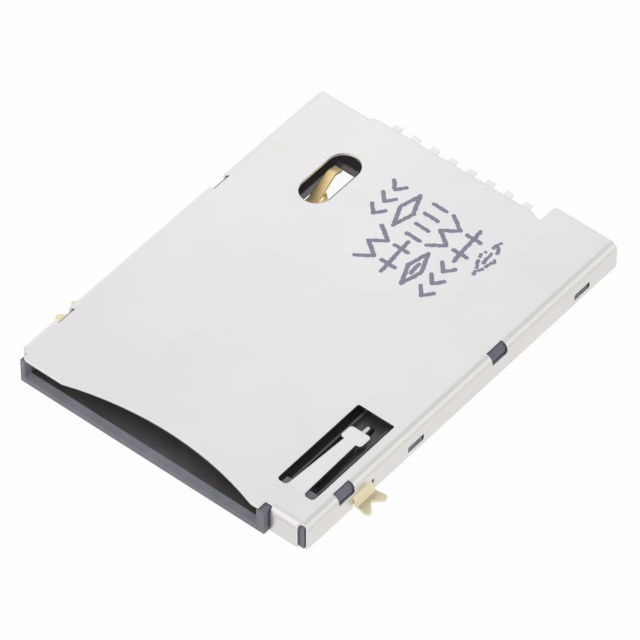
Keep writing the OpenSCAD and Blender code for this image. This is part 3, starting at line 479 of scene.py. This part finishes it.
draw = random.Random(DROP_SEED)
for (row_x, row_y), count, first_mark in MARK_ROWS:
    for i in range(count):
        mark_x = row_x + i * MARK_PITCH
        dry = max(0, (mark_x - DRY_START) / DRY_REACH)
        for line in MARKS[(i + first_mark) % len(MARKS)]:
            corners = [Vector((mark_x + x * MARK_SIZE[0] + y * MARK_SIZE[1] * MARK_SLANT,
                               row_y + y * MARK_SIZE[1])) for x, y in line]
            for drop in along(corners, DROP_STEP * (1 + DRY_APART * dry)):
                radius = DROP * (1 - DRY_SMALLER * dry) * draw.uniform(*DROP_SIZES)
                astray = Vector((draw.uniform(-1, 1), draw.uniform(-1, 1))) * DROP_ASTRAY
                if draw.random() >= DRY_MISSING * dry:
                    spray(drop + astray * (1 + DRY_ASTRAY * dry), radius)

ink, tree = new_material("violet grey marking ink")
patch = add_node(tree, "TexNoise", {"Vector": pattern_place(tree, [INK_PATCH] * 3),
                                    "Scale": 1, "Detail": 2})
tone = add_node(tree, "ValToRGB", {"Fac": patch.outputs["Fac"]})
tone.color_ramp.elements[0].position = NOISE_LOW
tone.color_ramp.elements[0].color = linear("#828093")
tone.color_ramp.elements[1].position = NOISE_HIGH
tone.color_ramp.elements[1].color = linear("#918fa4")
shader = add_node(tree, "BsdfPrincipled", {"Base Color": tone.outputs[0], "Roughness": 0.55})
add_node(tree, "OutputMaterial", {"Surface": shader.outputs[0]})
mark = new_piece("printed_mark", ink_points, ink_faces, ink)
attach(mark, "socket")

# The contacts and both halves of the card switch are stamped from phosphor bronze strip. Inside
# they are gilt, a warm satin yellow, and the solder tails are tinned, a pale grey, with the
# change where the tail leaves the rear wall.
TAIL_START = 12.02
TAIL_FADE = 0.05
STRIP_DARK = 0.94
STRIP_LIGHT = 1.03
STRIP_SHINIER = 0.04
STRIP_DULLER = 0.06

# The strip's real lines are finer than the render can show. They are drawn wider, so that they
# break up the shine.
STRIP_GRAIN = (0.03, 0.8, 0.03)
STRIP_GRAIN_DEPTH = 0.002
STRIP_GRAIN_STRENGTH = 0.1


def plated_strip(name, plating, edge_highlight_colour, edge_width, roughness, tail_plating=None):
    """Plated strip with rounded edges that carry a painted highlight, and with another plating on its tails
    if it has one.
    """
    finish, tree = new_material(name)
    lines = add_node(tree, "TexNoise", {"Vector": pattern_place(tree, STRIP_GRAIN),
                                        "Scale": 1, "Detail": 2})
    tint = add_node(tree, "MapRange", {"Value": lines.outputs["Fac"],
                                       "From Min": NOISE_LOW, "From Max": NOISE_HIGH,
                                       "To Min": STRIP_DARK, "To Max": STRIP_LIGHT})
    rounded, edge_highlight_mask = rounded_edges(tree, edge_width)
    # The edges get a lighter colour, a painted highlight.
    colour = add_node(tree, "Mix", {"Factor": edge_highlight_mask, 6: linear(plating), 7: linear(edge_highlight_colour)},
                      data_type="RGBA")
    colour = add_node(tree, "Mix", {"Factor": 1, 6: colour.outputs[2], 7: tint.outputs[0]},
                      data_type="RGBA", blend_type="MULTIPLY")
    if tail_plating:
        place = add_node(tree, "TexCoord")
        part = add_node(tree, "SeparateXYZ", {0: place.outputs["Object"]})
        behind = add_node(tree, "MapRange", {"Value": part.outputs["Y"], "From Min": TAIL_START * MM,
                                             "From Max": (TAIL_START + TAIL_FADE) * MM})
        colour = add_node(tree, "Mix", {"Factor": behind.outputs[0], 6: colour.outputs[2],
                                        7: linear(tail_plating)}, data_type="RGBA")
    dull = add_node(tree, "MapRange", {"Value": lines.outputs["Fac"],
                                       "From Min": NOISE_LOW, "From Max": NOISE_HIGH,
                                       "To Min": roughness - STRIP_SHINIER,
                                       "To Max": roughness + STRIP_DULLER})
    bump = add_node(tree, "Bump", {"Height": lines.outputs["Fac"], "Strength": STRIP_GRAIN_STRENGTH,
                                   "Distance": STRIP_GRAIN_DEPTH * MM, "Normal": rounded})
    shader = add_node(tree, "BsdfPrincipled", {"Base Color": colour.outputs[2], "Metallic": 1,
                                               "Roughness": dull.outputs[0], "Normal": bump.outputs[0]})
    add_node(tree, "OutputMaterial", {"Surface": shader.outputs[0]})
    return finish


# The second colour is a painted highlight on the edges.
gilt_strip = plated_strip("gilt phosphor bronze with tinned tails", "#fee5a9", "#fff2cc",
                          edge_width=0.03, roughness=0.44, tail_plating="#efeeef")
for name in [f"contact_{i}" for i in range(1, 7)] + ["switch_arm", "switch_stop"]:
    put_on(name, gilt_strip)

# The two solder terminals are stamped from the same strip with a thin gilt flash, which lets them
# take solder at the board and leaves them a pale straw yellow.
# The second colour is a painted highlight on the edges.
pale_strip = plated_strip("pale gilt flash on bronze", "#eee4c4", "#fdf8e2", edge_width=0.07,
                          roughness=0.45)
for name in ("terminal_left", "terminal_right"):
    put_on(name, pale_strip)

# The slider is moulded in black nylon. It is a little smoother than the housing, because it has to
# run in its channel, and it shows darker.
# Its second colour is a painted highlight on the edges.
put_on("slider", moulded_plastic("black slider nylon", "#4a494e", "#66656b", roughness=0.36))

# The cam pin is drawn spring steel wire with both ends bent down. Drawing leaves it bright, with
# fine lines along it.
WIRE_SHINIEST = 0.2
WIRE_DULLEST = 0.32

# The real lines are finer than the render can show. They are drawn wider, so that they break up
# the shine.
WIRE_LINES = (0.02, 1.5, 0.02)
WIRE_LINE_DEPTH = 0.002
WIRE_LINE_STRENGTH = 0.15

wire, tree = new_material("drawn spring steel wire")
lines = add_node(tree, "TexNoise", {"Vector": pattern_place(tree, WIRE_LINES), "Scale": 1, "Detail": 2})
dull = add_node(tree, "MapRange", {"Value": lines.outputs["Fac"], "From Min": NOISE_LOW,
                                   "From Max": NOISE_HIGH, "To Min": WIRE_SHINIEST,
                                   "To Max": WIRE_DULLEST})
bump = add_node(tree, "Bump", {"Height": lines.outputs["Fac"], "Strength": WIRE_LINE_STRENGTH,
                               "Distance": WIRE_LINE_DEPTH * MM})
shader = add_node(tree, "BsdfPrincipled", {"Base Color": linear("#d8d7d2"), "Metallic": 1,
                                           "Roughness": dull.outputs[0], "Normal": bump.outputs[0]})
add_node(tree, "OutputMaterial", {"Surface": shader.outputs[0]})
put_on("cam_pin", wire)

# The return spring is wound from the same wire, with both ends closed. It stands between the
# slider and the rear wall of its chamber, and shortens as the slider goes in.
SPRING_WIRE = 0.2
SPRING_TURNS = 20
DEAD_TURNS = 1
TURN_STEPS = 32
WIRE_SIDES = 12

spring_low, spring_high = [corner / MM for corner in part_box("spring")]
coil_x = (spring_low.x + spring_high.x) / 2
coil_z = (spring_low.z + spring_high.z) / 2
coil_r = (spring_high.x - spring_low.x - SPRING_WIRE) / 2
coil_l = spring_high.y - spring_low.y - SPRING_WIRE
open_pitch = (coil_l - 2 * DEAD_TURNS * SPRING_WIRE) / (SPRING_TURNS - 2 * DEAD_TURNS)


def coil_along(turns):
    """How far along the coil the wire is after some turns, from its front end."""
    if turns < DEAD_TURNS:
        return turns * SPRING_WIRE
    if turns > SPRING_TURNS - DEAD_TURNS:
        return coil_l - (SPRING_TURNS - turns) * SPRING_WIRE
    return DEAD_TURNS * SPRING_WIRE + (turns - DEAD_TURNS) * open_pitch


coil_points = []
coil_faces = []
coil_steps = SPRING_TURNS * TURN_STEPS
for i in range(coil_steps + 1):
    angle = 2 * math.pi * i / TURN_STEPS
    y = spring_low.y + SPRING_WIRE / 2 + coil_along(i / TURN_STEPS)
    for k in range(WIRE_SIDES):
        side = 2 * math.pi * k / WIRE_SIDES
        out = coil_r + SPRING_WIRE / 2 * math.cos(side)
        coil_points.append((coil_x + out * math.cos(angle), y + SPRING_WIRE / 2 * math.sin(side),
                            coil_z + out * math.sin(angle)))
for i in range(coil_steps):
    for k in range(WIRE_SIDES):
        n = (k + 1) % WIRE_SIDES
        a, b = i * WIRE_SIDES, (i + 1) * WIRE_SIDES
        coil_faces.append([a + k, b + k, b + n, a + n])
coil_faces.append(list(range(WIRE_SIDES)))
coil_faces.append([coil_steps * WIRE_SIDES + k for k in reversed(range(WIRE_SIDES))])
coil = new_piece("return_spring", coil_points, coil_faces, wire)
coil.data.shade_smooth()
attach(coil, "socket")
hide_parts("spring")
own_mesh(coil)
